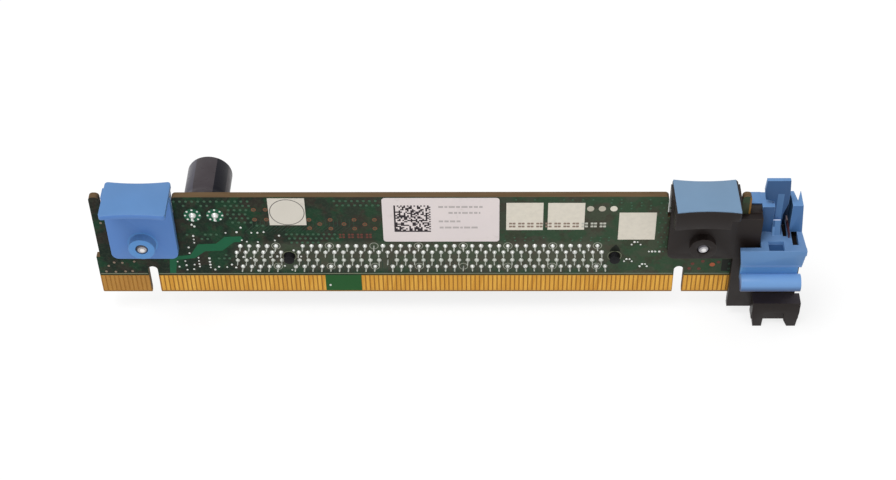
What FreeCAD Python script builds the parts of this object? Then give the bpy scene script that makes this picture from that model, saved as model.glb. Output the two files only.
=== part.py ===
import FreeCAD, Part
import math
import os

# PCI Express riser card of a 1U server, standing on its card edge.
# Millimetres. X runs along the board, Y through it (the solder side faces -Y and
# the component side +Y) and Z up. The origin is the middle of the card edge.

# ---- board ----
board_thickness = 1.6
board_height = 30.2
board_length = 146.0          # across the card edge
tab_step_width = 0.9          # the card edge is this much longer at its left end
tab_step_height = 11.7
corner_radius = 0.9
edge_bevel = 0.4              # bevel of the card edge on each face
edge_bevel_height = 0.75

# ---- key slots of the card edge ----
left_key_inset = 12.3         # of its middle from the board's left end
right_key_inset = 14.3
key_width = 2.2
key_height = 8.6

# ---- gold fingers, in four runs about the keys and a bare gap ----
finger_pitch = 1.0
finger_width = 0.7
finger_bottom = 0.85
finger_top = 5.7
finger_thickness = 0.05
finger_from_left_end = 0.7    # to the first finger's middle
finger_from_right_end = 2.65
finger_before_key = 1.58      # between the middles of a finger and of the key after it
finger_after_left_key = 1.82
finger_after_right_key = 1.65
bare_gap_from_key = 38.82     # to the middle of the last finger before the gap
bare_gap_width = 9.0          # between the middles of its neighbours

# ---- grips and their notches in the board's top edge ----
left_grip_inset = 11.6        # from the board's end
right_grip_inset = 10.0
notch_width = 16.0
left_notch_shift = 0.45       # of the left notch outwards from its grip's middle
notch_depth = 6.2
grip_fit = 0.5                # clearance of a grip in its notch, each side
grip_plate_thickness = 1.75
grip_plate_drop = 17.4        # below the board's top edge
grip_plate_radius = 1.6
grip_rise = 1.1               # above the board's top edge
left_grip_length = 14.5
right_grip_length = 14.3
left_grip_front = 5.5         # reach in front of the grip plate
left_grip_back = 2.3          # reach behind the board
right_grip_front = 4.7
right_grip_back = 3.0
grip_waist = 0.6              # how far the grip's long sides curve in
grip_corner = 0.7
flange_thickness = 1.2
back_lip_thickness = 1.5
back_lip_height = 7.5
block_height = 5.2            # front wall of the right grip
block_back_height = 2.4
block_step_width = 2.1        # cut from the wall's right end
block_step_height = 2.6       # left above that cut
cap_thickness = 0.3
cap_rim = 0.1

# ---- rivets ----
rivet_drop = 12.5             # below the board's top edge
rivet_shank_radius = 1.0
rivet_head_radius = 1.25
rivet_head_height = 0.8
rivet_head_chamfer = 0.3
rivet_foot_radius = 1.8
rivet_foot_height = 0.5
rivet_clearance = 0.05
boss_radius = 2.95
boss_height = 2.0
boss_recess_radius = 1.4
boss_recess_depth = 0.7

# ---- x16 slot ----
slot_height = 11.9            # of its middle above the card edge
contact_one_inset = 32.0      # from the board's left end
contact_count = 82
contact_pitch = 1.0
before_key_count = 11
key_gap = 2.0
slot_left_margin = 2.65       # from the first contact to the housing's end
slot_right_margin = 3.35
slot_body_height = 11.25
slot_body_width = 8.4
slot_corner = 0.5
mouth_width = 1.8
mouth_depth = 1.2
chamber_width = 3.4
chamber_margin = 1.15         # past the outermost contacts
card_key_width = 1.7
standoff = 0.8                # room for the contacts' feet under the housing
foot_rib = 0.55               # wall left round that room
key_from_contact_one = 11.5
peg_from_key = 0.3
peg_pitch = 73.15
peg_radius = 1.15
peg_reach = 3.0               # past the housing's foot
peg_hole_radius = 1.3

# ---- slot contacts and their solder joints ----
inner_row = 1.25              # from the slot's middle
outer_row = 3.25
contact_width = 0.4
contact_thickness = 0.3
contact_top_gap = 1.6         # from the housing's mouth face
joint_radius = 0.55
tip_reach = 1.7
skipped_joints = ((0, 12), (0, 82), (0, 30), (2, 19), (2, 33), (3, 32), (3, 50))

# ---- electrolytic capacitor ----
capacitor_inset = 25.8        # from the board's left end
capacitor_drop = 5.5          # below the board's top edge
capacitor_radius = 5.0
capacitor_length = 12.0
capacitor_crimp = 1.6         # from the foot to the groove
crimp_depth = 0.45
crimp_width = 1.0
can_chamfer = 0.4
bung_radius = 3.9
bung_stand = 0.4
bung_foot_width = 1.2
bung_foot_place = 2.2         # of each foot from the bung's middle
capacitor_lead_pitch = 5.0
capacitor_lead_radius = 0.3
capacitor_joint_radius = 1.0
capacitor_joint_height = 0.7

# ---- guide bracket, placed from the board's right end ----
wing_overlap = 2.8            # how far the moulding lies over the card edge's end
wing_bottom = -2.65
finger_relief = 0.15          # room over the fingers that the moulding covers
wing_top = 25.0
body_clearance = 0.15         # from the board's end
body_end = 12.3
body_back_reach = 4.4         # behind the board's back face
body_top = 16.2
saddle_top = 25.4
leg_front = 5.05              # from the board's front face to the legs' faces
leg_start = 2.6
leg_end = 13.35
leg_bottom = -5.8
leg_width = 2.5
leg_taper = 0.5               # of the outer sides
leg_lead_in = 0.9
web_bottom = -3.9
web_lip = -1.4
web_step = 0.5
web_top = 1.6

# ---- blue latch on the bracket, placed from the board's right end ----
latch_fit = 0.15
latch_top = 25.5
right_column_top = 25.85
latch_start = 2.9
latch_end = 12.0
latch_back_end = 12.4         # of the plate under the right column
column_lean = 0.6             # of the right column's outer side
latch_front_end = 12.85       # the plate widens towards its front
latch_plate_top = 17.9
latch_plate_thickness = 1.5
latch_front = 4.6             # from the board's front face to the latch's wall
latch_wall = 1.2
latch_wall_height = 5.0
latch_wing_overlap = 1.8      # how far the wall reaches in front of the board
roll_overlap = 1.25
latch_corner = 1.4
column_back = 4.8             # depth of the columns
left_column_width = 2.7
right_column_width = 2.55
latch_back_wall = 1.0
shelf_top = 25.6
shelf_thickness = 1.0
saddle_back = 1.0             # behind the board's back face, up to the shelf
lever_start = 3.3
lever_top_width = 5.15
lever_bulge = 0.22            # of the head's sides at their widest
lever_thickness = 0.95
lever_top = 32.4
lever_waist_drop = 3.1        # from the lever's top to its widest place
lever_head_drop = 5.55        # to the head's lower left corner
lever_neck_drop = 6.2         # to the stem's left side
lever_taper_drop = 6.8        # to where the stem's right side starts to taper
lever_stem_drop = 10.2        # to where it has tapered
stem_start = 5.85
stem_neck = 0.45              # how much further left the stem starts at the head
stem_width = 1.9
lever_set_back = 1.0
rib_start = 5.6
rib_width = 1.7
rib_top = 21.4
rib_foot = 1.2                # how far the rib's foot stands out
pocket_start = 4.5
pocket_width = 3.45
pocket_depth = 1.0
pocket_length = 2.95
pocket_from_front = 0.25
slit_start = 8.0
slit_width = 0.95
slit_length = 1.4
slot_start = 9.85
slot_width = 1.35
slot_length = 4.15
slot_undercut = 1.6           # how far it runs on under the right column
vee_start = 10.2              # of the notch in the right column's back
vee_width = 1.5
vee_bottom_from_start = 0.58
vee_depth = 3.0
roll_radius = 2.0
roll_drop = 8.4               # of the roll's middle below the plate's top
roll_forward = 1.4            # of the roll's middle in front of the wall
neck_thickness = 1.6
neck_inset = 0.5
neck_step = 0.35
spring_thickness = 0.3
spring_fit = 0.1
spring_front = 2.0
spring_height = 1.4

# ---- labels, placed from the board's left end and top edge ----
label_thickness = 0.1
large_label_inset = 65.25
large_label_drop = 0.3
large_label_width = 25.8
large_label_height = 13.3
large_label_radius = 0.7
small_label_inset = 40.2
small_label_drop = 0.35
small_label_width = 8.15
small_label_height = 8.1

# ---- small parts of the component side, placed as the labels are ----
chip_length = 4.9
chip_height = 1.5
chip_width = 3.9
chip_stand = 0.1
first_chip_inset = 45.5
chip_spacing = 12.0
chip_drop = 8.6
chip_count = 2
chip_lead_count = 4           # on each side
chip_lead_pitch = 1.27
chip_lead_width = 0.4
chip_lead_reach = 1.05
chip_lead_height = 0.5
passive_length = 1.6
passive_height = 0.8
passive_width = 0.8
ceramic_inset = 65.0
ceramic_pitch = 4.0
ceramic_drop = 10.8
ceramic_count = 14
resistor_inset = 39.0
resistor_pitch = 3.0
resistor_drop = 3.4
resistor_count = 6

FRONT = -board_thickness / 2
BACK = board_thickness / 2
LEFT = -board_length / 2
RIGHT = board_length / 2
TOP = board_height
SIDE_LEFT = LEFT + tab_step_width
LEFT_KEY = LEFT + left_key_inset
RIGHT_KEY = RIGHT - right_key_inset
LEFT_GRIP = LEFT + left_grip_inset
LEFT_NOTCH = LEFT_GRIP - left_notch_shift
RIGHT_GRIP = RIGHT - right_grip_inset
GRIP_TOP = TOP + grip_rise
NOTCH_BOTTOM = TOP - notch_depth
PLATE_BOTTOM = TOP - grip_plate_drop
PLATE_FACE = FRONT - grip_plate_thickness
PLATE_HALF = notch_width / 2 - grip_fit
RIVET_Z = TOP - rivet_drop
CONTACT_ONE = LEFT + contact_one_inset
SLOT_KEY = CONTACT_ONE + key_from_contact_one
PEGS = (SLOT_KEY + peg_from_key, SLOT_KEY + peg_from_key + peg_pitch)
ROWS = (outer_row, inner_row, -inner_row, -outer_row)
CAPACITOR_X = LEFT + capacitor_inset
CAPACITOR_Z = TOP - capacitor_drop
LEADS = (CAPACITOR_X - capacitor_lead_pitch / 2, CAPACITOR_X + capacitor_lead_pitch / 2)
BODY_LEFT = RIGHT + body_clearance
BODY_RIGHT = RIGHT + body_end
LATCH_LEFT = RIGHT + latch_start
LATCH_RIGHT = RIGHT + latch_end
ROLL_LEFT = RIGHT - roll_overlap


def box(x0, x1, y0, y1, z0, z1):
    """A block between two corners."""
    return Part.makeBox(x1 - x0, y1 - y0, z1 - z0, FreeCAD.Vector(x0, y0, z0))


def rod_y(radius, x, z, y0, y1):
    """A round bar along Y."""
    return Part.makeCylinder(radius, y1 - y0, FreeCAD.Vector(x, y0, z), FreeCAD.Vector(0, 1, 0))


def cone_y(radius0, radius1, x, z, y0, y1):
    """A round bar along Y that tapers."""
    return Part.makeCone(radius0, radius1, y1 - y0, FreeCAD.Vector(x, y0, z),
                         FreeCAD.Vector(0, 1, 0))


def rod_x(radius, y, z, x0, x1):
    """A round bar along X."""
    return Part.makeCylinder(radius, x1 - x0, FreeCAD.Vector(x0, y, z), FreeCAD.Vector(1, 0, 0))


def polygon(points):
    """A flat face with straight sides."""
    corners = [FreeCAD.Vector(*p) for p in points]
    return Part.Face(Part.makePolygon(corners + corners[:1]))


def plate_y(outline, y0, y1):
    """An outline given in X and Z, as thick as from y0 to y1."""
    return polygon([(x, y0, z) for x, z in outline]).extrude(FreeCAD.Vector(0, y1 - y0, 0))


def bar_x(outline, x0, x1):
    """A section given in Y and Z, as long as from x0 to x1."""
    return polygon([(x0, y, z) for y, z in outline]).extrude(FreeCAD.Vector(x1 - x0, 0, 0))


def slab_z(outline, z0, z1):
    """An outline given in X and Y, as high as from z0 to z1."""
    return polygon([(x, y, z0) for x, y in outline]).extrude(FreeCAD.Vector(0, 0, z1 - z0))


def round_edges(shape, radius, wanted):
    """Fillet the straight edges whose middle and direction the test accepts."""
    edges = []
    for edge in shape.Edges:
        if not isinstance(edge.Curve, Part.Line):
            continue
        a, b = (v.Point for v in edge.Vertexes)
        if wanted((a + b) * 0.5, (b - a).normalize()):
            edges.append(edge)
    return shape.makeFillet(radius, edges) if edges else shape


def near(value, targets, slack=0.01):
    """Whether the value is one of the targets."""
    return any(abs(value - t) < slack for t in targets)


def contact_x(number):
    """Place along X of a slot contact, counted from 1."""
    x = CONTACT_ONE + (number - 1) * contact_pitch
    return x + key_gap if number > before_key_count else x


def contact_places():
    """(number, row) of every contact: even numbers in the outer rows, odd in the inner."""
    places = []
    for number in range(1, contact_count + 1):
        for row in ((0, 3) if number % 2 == 0 else (1, 2)):
            places.append((number, row))
    return places


def spike(x, z, sides, stages):
    """A flat-sided solid along Y through rings of (radius, y); radius 0 is a point."""
    rings = []
    for radius, y in stages:
        angles = [math.pi / sides * (2 * i + 1) for i in range(sides if radius else 1)]
        rings.append([(x + radius * math.cos(a), y, z + radius * math.sin(a)) for a in angles])
    faces = [polygon(rings[0])]
    if len(rings[-1]) > 1:
        faces.append(polygon(rings[-1]))
    for low, high in zip(rings, rings[1:]):
        for i in range(sides):
            j = (i + 1) % sides
            side = [low[i], low[j], high[j], high[i]] if len(high) > 1 else [low[i], low[j], high[0]]
            faces.append(polygon(side))
    solid = Part.Solid(Part.Shell(faces))
    return solid if solid.Volume > 0 else solid.reversed()


def make_pcb():
    board = plate_y([(LEFT, 0), (LEFT, tab_step_height), (SIDE_LEFT, tab_step_height),
                     (SIDE_LEFT, TOP), (RIGHT, TOP), (RIGHT, 0)], FRONT, BACK)
    for middle in (LEFT_NOTCH, RIGHT_GRIP):
        board = board.cut(box(middle - notch_width / 2, middle + notch_width / 2,
                              FRONT, BACK, NOTCH_BOTTOM, TOP))
    horn = min(LEFT_NOTCH - SIDE_LEFT, RIGHT - RIGHT_GRIP) - notch_width / 2
    board = round_edges(board, min(corner_radius, 0.45 * horn),
                        lambda p, d: abs(d.y) > 0.9 and near(p.z, (TOP,)))
    for x in (LEFT_KEY, RIGHT_KEY):
        flank = key_height - key_width / 2
        board = board.cut(box(x - key_width / 2, x + key_width / 2, FRONT, BACK, 0, flank))
        board = board.cut(rod_y(key_width / 2, x, flank, FRONT, BACK))
    for face, inner in ((FRONT, FRONT + edge_bevel), (BACK, BACK - edge_bevel)):
        board = board.cut(bar_x([(face, 0), (face, edge_bevel_height), (inner, 0)], LEFT, RIGHT))
    for x in PEGS:
        board = board.cut(rod_y(peg_hole_radius, x, slot_height, FRONT, BACK))
    for x in (LEFT_GRIP, RIGHT_GRIP):
        board = board.cut(rod_y(rivet_shank_radius + rivet_clearance, x, RIVET_Z, FRONT, BACK))
    return board


def finger_middles():
    """Places of the fingers' middles: four runs on one pitch."""
    gap = LEFT_KEY + bare_gap_from_key
    runs = ((LEFT + finger_from_left_end, LEFT_KEY - finger_before_key),
            (LEFT_KEY + finger_after_left_key, gap),
            (gap + bare_gap_width, RIGHT_KEY - finger_before_key),
            (RIGHT_KEY + finger_after_right_key, RIGHT - finger_from_right_end))
    middles = []
    for first, last in runs:
        count = int((last - first) / finger_pitch + 0.1) + 1
        middles += [first + i * finger_pitch for i in range(count)]
    return middles


def make_fingers(front):
    outer = FRONT - finger_thickness if front else BACK
    half = finger_width / 2
    return Part.makeCompound([box(x - half, x + half, outer, outer + finger_thickness,
                                  finger_bottom, finger_top) for x in finger_middles()])


def make_slot_housing():
    left = contact_x(1) - slot_left_margin
    right = contact_x(contact_count) + slot_right_margin
    low, high = slot_height - slot_body_width / 2, slot_height + slot_body_width / 2
    mouth = BACK + slot_body_height
    body = box(left, right, BACK, mouth, low, high)
    body = round_edges(body, slot_corner, lambda p, d: abs(d.y) > 0.9)
    first = contact_x(1) - chamber_margin
    last = contact_x(contact_count) + chamber_margin
    for x0, x1 in ((first, SLOT_KEY - card_key_width / 2), (SLOT_KEY + card_key_width / 2, last)):
        half = mouth_width / 2
        body = body.cut(box(x0, x1, BACK, mouth, slot_height - half, slot_height + half))
        half = chamber_width / 2
        body = body.cut(box(x0, x1, BACK, mouth - mouth_depth,
                            slot_height - half, slot_height + half))
        lead_in = mouth_depth * 0.5
        flare = half * 0.75
        body = body.cut(bar_x([(mouth, slot_height - flare), (mouth, slot_height + flare),
                               (mouth - lead_in, slot_height + mouth_width / 2),
                               (mouth - lead_in, slot_height - mouth_width / 2)], x0, x1))
        body = body.cut(box(x0, x1, BACK, BACK + standoff, low + foot_rib, high - foot_rib))
    for x in PEGS:
        body = body.fuse(rod_y(peg_radius, x, slot_height, BACK - peg_reach, BACK + standoff))
    return body.removeSplitter()


def make_slot_contacts():
    """Blades in the slot: the outer rows' feet run in along the board to the same blade line."""
    half_x = contact_width / 2
    half_z = contact_thickness / 2
    tip = BACK + slot_body_height - contact_top_gap
    contacts = []
    for number, row in contact_places():
        x = contact_x(number)
        side = 1 if ROWS[row] > 0 else -1
        blade = slot_height + side * inner_row
        if abs(ROWS[row]) == inner_row:
            contacts.append(box(x - half_x, x + half_x, BACK, tip, blade - half_z, blade + half_z))
            continue
        foot = slot_height + ROWS[row] + side * half_z
        section = [(BACK, foot), (BACK + contact_thickness, foot),
                   (BACK + contact_thickness, blade + side * half_z),
                   (tip, blade + side * half_z), (tip, blade - side * half_z),
                   (BACK, blade - side * half_z)]
        contacts.append(bar_x(section, x - half_x, x + half_x))
    return Part.makeCompound(contacts)


def make_slot_joints():
    """A pointed solid at each pin, from the solder's foot to the pin's tinned tip."""
    stages = ((joint_radius, FRONT), (0, FRONT - tip_reach))
    return Part.makeCompound([spike(contact_x(number), slot_height + ROWS[row], 4, stages)
                              for number, row in contact_places()
                              if (row, number) not in skipped_joints])


def make_capacitor_can():
    foot = BACK + bung_stand
    end = foot + capacitor_length
    groove = foot + capacitor_crimp
    rim = end - can_chamfer
    can = rod_y(capacitor_radius, CAPACITOR_X, CAPACITOR_Z, foot, rim)
    can = can.fuse(cone_y(capacitor_radius, capacitor_radius - can_chamfer,
                          CAPACITOR_X, CAPACITOR_Z, rim, end))
    ring = rod_y(capacitor_radius, CAPACITOR_X, CAPACITOR_Z, groove, groove + crimp_width)
    core = rod_y(capacitor_radius - crimp_depth, CAPACITOR_X, CAPACITOR_Z,
                 groove, groove + crimp_width)
    bore = rod_y(bung_radius, CAPACITOR_X, CAPACITOR_Z, foot, groove)
    return can.cut(ring.cut(core)).cut(bore).removeSplitter()


def make_capacitor_bung():
    """Rubber bung standing on two feet, with the leads' bores."""
    foot = BACK + bung_stand
    top = foot + capacitor_crimp
    bung = rod_y(bung_radius, CAPACITOR_X, CAPACITOR_Z, foot, top)
    half = bung_foot_width / 2
    for z in (CAPACITOR_Z - bung_foot_place, CAPACITOR_Z + bung_foot_place):
        bung = bung.fuse(box(CAPACITOR_X - half, CAPACITOR_X + half, BACK, foot, z - half, z + half))
    return bung.cut(make_capacitor_leads())


def make_capacitor_leads():
    stages = ((capacitor_lead_radius, BACK + bung_stand + capacitor_crimp),
              (capacitor_lead_radius, BACK))
    return Part.makeCompound([spike(x, CAPACITOR_Z, 8, stages) for x in LEADS])


def make_capacitor_joints():
    stages = ((capacitor_joint_radius, FRONT),
              (capacitor_lead_radius, FRONT - capacitor_joint_height),
              (capacitor_lead_radius, FRONT - tip_reach))
    return Part.makeCompound([spike(x, CAPACITOR_Z, 6, stages) for x in LEADS])


def waisted_slab(middle, length, front, back, z0, z1):
    """A slab whose two long sides curve in, as a finger grip."""
    y0, y1 = PLATE_FACE - front, BACK + back
    x0, x1 = middle - length / 2, middle + length / 2

    def side(a, b, y_mid, y_end):
        return Part.Arc(FreeCAD.Vector(a, y_end, z0), FreeCAD.Vector(middle, y_mid, z0),
                        FreeCAD.Vector(b, y_end, z0)).toShape()

    edges = [side(x0, x1, y0 + grip_waist, y0),
             Part.LineSegment(FreeCAD.Vector(x1, y0, z0), FreeCAD.Vector(x1, y1, z0)).toShape(),
             side(x1, x0, y1 - grip_waist, y1),
             Part.LineSegment(FreeCAD.Vector(x0, y1, z0), FreeCAD.Vector(x0, y0, z0)).toShape()]
    slab = Part.Face(Part.Wire(edges)).extrude(FreeCAD.Vector(0, 0, z1 - z0))
    return round_edges(slab, grip_corner, lambda p, d: abs(d.z) > 0.9)


def grip_plate(middle, top):
    """The plate that lies on the solder side under a grip, with rounded lower corners."""
    plate = box(middle - PLATE_HALF, middle + PLATE_HALF, PLATE_FACE, FRONT, PLATE_BOTTOM, top)
    return round_edges(plate, grip_plate_radius,
                       lambda p, d: abs(d.y) > 0.9 and near(p.z, (PLATE_BOTTOM,)))


def grip_core(middle, top):
    """What fills the notch, with the lip that hooks behind the board."""
    core = box(middle - PLATE_HALF, middle + PLATE_HALF, FRONT, BACK, NOTCH_BOTTOM, top)
    lip = box(middle - PLATE_HALF, middle + PLATE_HALF, BACK, BACK + back_lip_thickness,
              TOP - back_lip_height, top)
    return core.fuse(lip)


def grip_boss(middle):
    """The round boss about a rivet, before its bore is cut."""
    return rod_y(boss_radius, middle, RIVET_Z, PLATE_FACE - boss_height, FRONT)


def rivet_bore(middle):
    """Bore and head recess of a rivet."""
    face = PLATE_FACE - boss_height
    bore = rod_y(rivet_shank_radius + rivet_clearance, middle, RIVET_Z, face, FRONT)
    recess = rod_y(boss_recess_radius, middle, RIVET_Z, face, face + boss_recess_depth)
    return bore.fuse(recess)


def make_left_grip():
    under = GRIP_TOP - flange_thickness
    flange = waisted_slab(LEFT_GRIP, left_grip_length, left_grip_front, left_grip_back,
                          under, GRIP_TOP)
    grip = grip_plate(LEFT_GRIP, under).fuse([grip_core(LEFT_NOTCH, under), flange,
                                              grip_boss(LEFT_GRIP)])
    return grip.cut(rivet_bore(LEFT_GRIP)).removeSplitter()


def make_rivet(middle):
    seat = PLATE_FACE - boss_height + boss_recess_depth
    face = seat - rivet_head_height
    rim = face + rivet_head_chamfer
    head = rod_y(rivet_head_radius, middle, RIVET_Z, rim, seat)
    crown = cone_y(rivet_head_radius - rivet_head_chamfer, rivet_head_radius,
                   middle, RIVET_Z, face, rim)
    shank = rod_y(rivet_shank_radius, middle, RIVET_Z, seat, BACK)
    foot = rod_y(rivet_foot_radius, middle, RIVET_Z, BACK, BACK + rivet_foot_height)
    return head.fuse([crown, shank, foot]).removeSplitter()


def make_guide_bracket():
    cap_seat = GRIP_TOP - cap_thickness
    under = GRIP_TOP - block_height
    grip = waisted_slab(RIGHT_GRIP, right_grip_length, right_grip_front, right_grip_back,
                        under, cap_seat)
    grip = grip.cut(box(RIGHT_GRIP - right_grip_length, RIGHT_GRIP + right_grip_length,
                        BACK + back_lip_thickness, BACK + 2 * right_grip_back,
                        under, GRIP_TOP - block_back_height))
    end = RIGHT_GRIP + right_grip_length / 2
    grip = grip.cut(box(end - block_step_width, end, PLATE_FACE - right_grip_front, PLATE_FACE,
                        under, GRIP_TOP - block_step_height))
    plate = grip_plate(RIGHT_GRIP, wing_top)
    neck = box(RIGHT_GRIP - PLATE_HALF, RIGHT_GRIP + PLATE_HALF, PLATE_FACE, FRONT,
               wing_top, cap_seat)
    wing = box(RIGHT - wing_overlap, BODY_RIGHT, PLATE_FACE, FRONT, wing_bottom, body_top)
    arm = box(RIGHT_GRIP, LATCH_LEFT - latch_fit, PLATE_FACE, FRONT, PLATE_BOTTOM, wing_top)
    body = box(BODY_LEFT, BODY_RIGHT, FRONT, BACK + body_back_reach, wing_bottom, body_top)
    saddle = box(BODY_LEFT, LATCH_LEFT - latch_fit, FRONT, BACK + saddle_back,
                 body_top, saddle_top)
    bracket = plate.fuse([neck, wing, arm, body, saddle, make_legs(), grip,
                          grip_core(RIGHT_GRIP, cap_seat), grip_boss(RIGHT_GRIP)])
    relief = box(RIGHT - wing_overlap, BODY_LEFT, FRONT - finger_relief, FRONT,
                 wing_bottom, finger_top + finger_relief)
    return bracket.cut(rivet_bore(RIGHT_GRIP)).cut(relief).removeSplitter()


def make_legs():
    """The web with its two tapered legs, in front of the bracket's body."""
    face = FRONT - leg_front
    x0, x1 = RIGHT + leg_start, RIGHT + leg_end
    block = bar_x([(PLATE_FACE, web_top), (face, web_top), (face, web_lip),
                   (face + web_step, web_lip - web_step / 2), (face + web_step, web_bottom),
                   (PLATE_FACE, web_bottom)], x0, x1)
    left = plate_y([(x0, web_lip), (x0 + leg_taper, leg_bottom), (x0 + leg_width, leg_bottom),
                    (x0 + leg_width + leg_taper / 2, web_lip)], face, PLATE_FACE)
    right = plate_y([(x1, web_lip), (x1 - leg_taper, leg_bottom), (x1 - leg_width, leg_bottom),
                     (x1 - leg_width - leg_lead_in, web_bottom),
                     (x1 - leg_width - leg_lead_in, web_lip)], face, PLATE_FACE)
    return block.fuse([left, right])


def make_grip_cap():
    return waisted_slab(RIGHT_GRIP, right_grip_length - 2 * cap_rim, right_grip_front - cap_rim,
                        right_grip_back - cap_rim, GRIP_TOP - cap_thickness, GRIP_TOP)


def make_latch():
    """Plate, columns, front wall and finger roll of the latch, with its lever."""
    y_back = BACK + column_back
    wall_face = FRONT - latch_front
    front_right = RIGHT + latch_front_end
    plate_low = latch_plate_top - latch_plate_thickness
    wall_low = latch_plate_top - latch_wall_height
    back_right = RIGHT + latch_back_end
    plate = slab_z([(LATCH_LEFT, wall_face), (front_right, wall_face), (back_right, BACK),
                    (back_right, y_back), (LATCH_LEFT, y_back)], plate_low, latch_plate_top)
    wall = plate_y([(RIGHT - latch_wing_overlap, latch_plate_top), (front_right, latch_plate_top),
                    (front_right - latch_corner / 2, wall_low), (ROLL_LEFT, wall_low)],
                   wall_face, wall_face + latch_wall)
    columns = make_latch_columns(plate_low, y_back)
    roll_y = wall_face - roll_forward
    roll_z = latch_plate_top - roll_drop
    roll = rod_x(roll_radius, roll_y, roll_z, ROLL_LEFT, LATCH_RIGHT)
    neck = box(ROLL_LEFT, LATCH_RIGHT - neck_inset, wall_face + neck_step,
               wall_face + latch_wall, roll_z, wall_low)
    foot = box(ROLL_LEFT, LATCH_RIGHT - neck_inset, roll_y, wall_face + latch_wall,
               roll_z - neck_thickness / 2, roll_z + neck_thickness / 2)
    shelf = box(BODY_LEFT, LATCH_LEFT, BACK + saddle_back + latch_fit, y_back,
                shelf_top - shelf_thickness, shelf_top)
    latch = plate.fuse([wall, columns, shelf, make_lever(), roll, neck, foot])
    pocket_x = RIGHT + pocket_start
    pocket_y = wall_face + pocket_from_front
    latch = latch.cut(box(pocket_x, pocket_x + pocket_width, pocket_y, pocket_y + pocket_length,
                          latch_plate_top - pocket_depth, latch_plate_top))
    slit_x = RIGHT + slit_start
    latch = latch.cut(box(slit_x, slit_x + slit_width, BACK - slit_length,
                          y_back - latch_back_wall, plate_low, latch_plate_top))
    slot_x = RIGHT + slot_start
    latch = latch.cut(box(slot_x, slot_x + slot_width, BACK - slot_length, BACK + slot_undercut,
                          plate_low, latch_plate_top))
    return latch.removeSplitter()


def make_latch_columns(low, y_back):
    """The two columns with the wall that joins them behind the lever."""
    left = box(LATCH_LEFT, LATCH_LEFT + left_column_width, BACK, y_back, low, latch_top)
    x0 = LATCH_RIGHT - right_column_width
    x1 = RIGHT + latch_back_end
    right = plate_y([(x0, low), (x1, low), (x1, latch_plate_top),
                     (x1 - column_lean, right_column_top), (x0, right_column_top)], BACK, y_back)
    vee_x = RIGHT + vee_start
    vee = slab_z([(vee_x, y_back), (vee_x + vee_bottom_from_start, y_back - vee_depth),
                  (vee_x + vee_width, y_back)], latch_plate_top, right_column_top)
    back = box(LATCH_LEFT, x0, y_back - latch_back_wall, y_back, low, latch_top)
    return left.fuse([right.cut(vee), back])


def make_lever():
    """The upright finger lever between the latch's columns, with its rib."""
    y0 = BACK + lever_set_back
    x0, x1 = RIGHT + lever_start, RIGHT + lever_start + lever_top_width
    stem = RIGHT + stem_start
    widest = lever_top - lever_waist_drop
    lever = plate_y([(x0, lever_top), (x0 - lever_bulge, widest),
                     (x0 + lever_bulge, lever_top - lever_head_drop),
                     (stem - stem_neck, lever_top - lever_neck_drop),
                     (stem, lever_top - lever_stem_drop), (stem, latch_plate_top),
                     (stem + stem_width, latch_plate_top),
                     (stem + stem_width, lever_top - lever_stem_drop),
                     (x1 + lever_bulge, lever_top - lever_taper_drop),
                     (x1 + lever_bulge, widest), (x1, lever_top)], y0, y0 + lever_thickness)
    rib_x = RIGHT + rib_start
    rib = bar_x([(y0, latch_plate_top), (BACK - rib_foot, latch_plate_top), (BACK, rib_top),
                 (y0, rib_top)], rib_x, rib_x + rib_width)
    return lever.fuse(rib)


def make_latch_spring():
    """Thin strip on edge in the gap between the lever and the right column."""
    x = LATCH_RIGHT - right_column_width - spring_fit - spring_thickness
    return box(x, x + spring_thickness, BACK - spring_front, BACK + column_back - latch_back_wall,
               latch_plate_top, latch_plate_top + spring_height)


def make_label(inset, drop, width, height, radius=0):
    """A label on the solder side, placed by its upper left corner."""
    left, top = LEFT + inset, TOP - drop
    label = box(left, left + width, FRONT - label_thickness, FRONT, top - height, top)
    return round_edges(label, radius, lambda p, d: abs(d.y) > 0.9) if radius else label


def chip_middles():
    return [(LEFT + first_chip_inset + i * chip_spacing, TOP - chip_drop)
            for i in range(chip_count)]


def make_chip_bodies():
    return Part.makeCompound([box(x - chip_length / 2, x + chip_length / 2,
                                  BACK + chip_stand, BACK + chip_height,
                                  z - chip_width / 2, z + chip_width / 2)
                              for x, z in chip_middles()])


def make_chip_leads():
    leads = []
    for chip_x, chip_z in chip_middles():
        for i in range(chip_lead_count):
            x = chip_x + (i - (chip_lead_count - 1) / 2) * chip_lead_pitch
            for side in (-1, 1):
                root = chip_z + side * chip_width / 2
                toe = root + side * chip_lead_reach
                leads.append(box(x - chip_lead_width / 2, x + chip_lead_width / 2, BACK,
                                 BACK + chip_lead_height, min(root, toe), max(root, toe)))
    return Part.makeCompound(leads)


def make_passives(inset, pitch, count, drop):
    """A row of small chip capacitors or resistors."""
    z = TOP - drop
    parts = []
    for i in range(count):
        x = LEFT + inset + i * pitch
        parts.append(box(x - passive_length / 2, x + passive_length / 2, BACK,
                         BACK + passive_height, z - passive_width / 2, z + passive_width / 2))
    return Part.makeCompound(parts)


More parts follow.
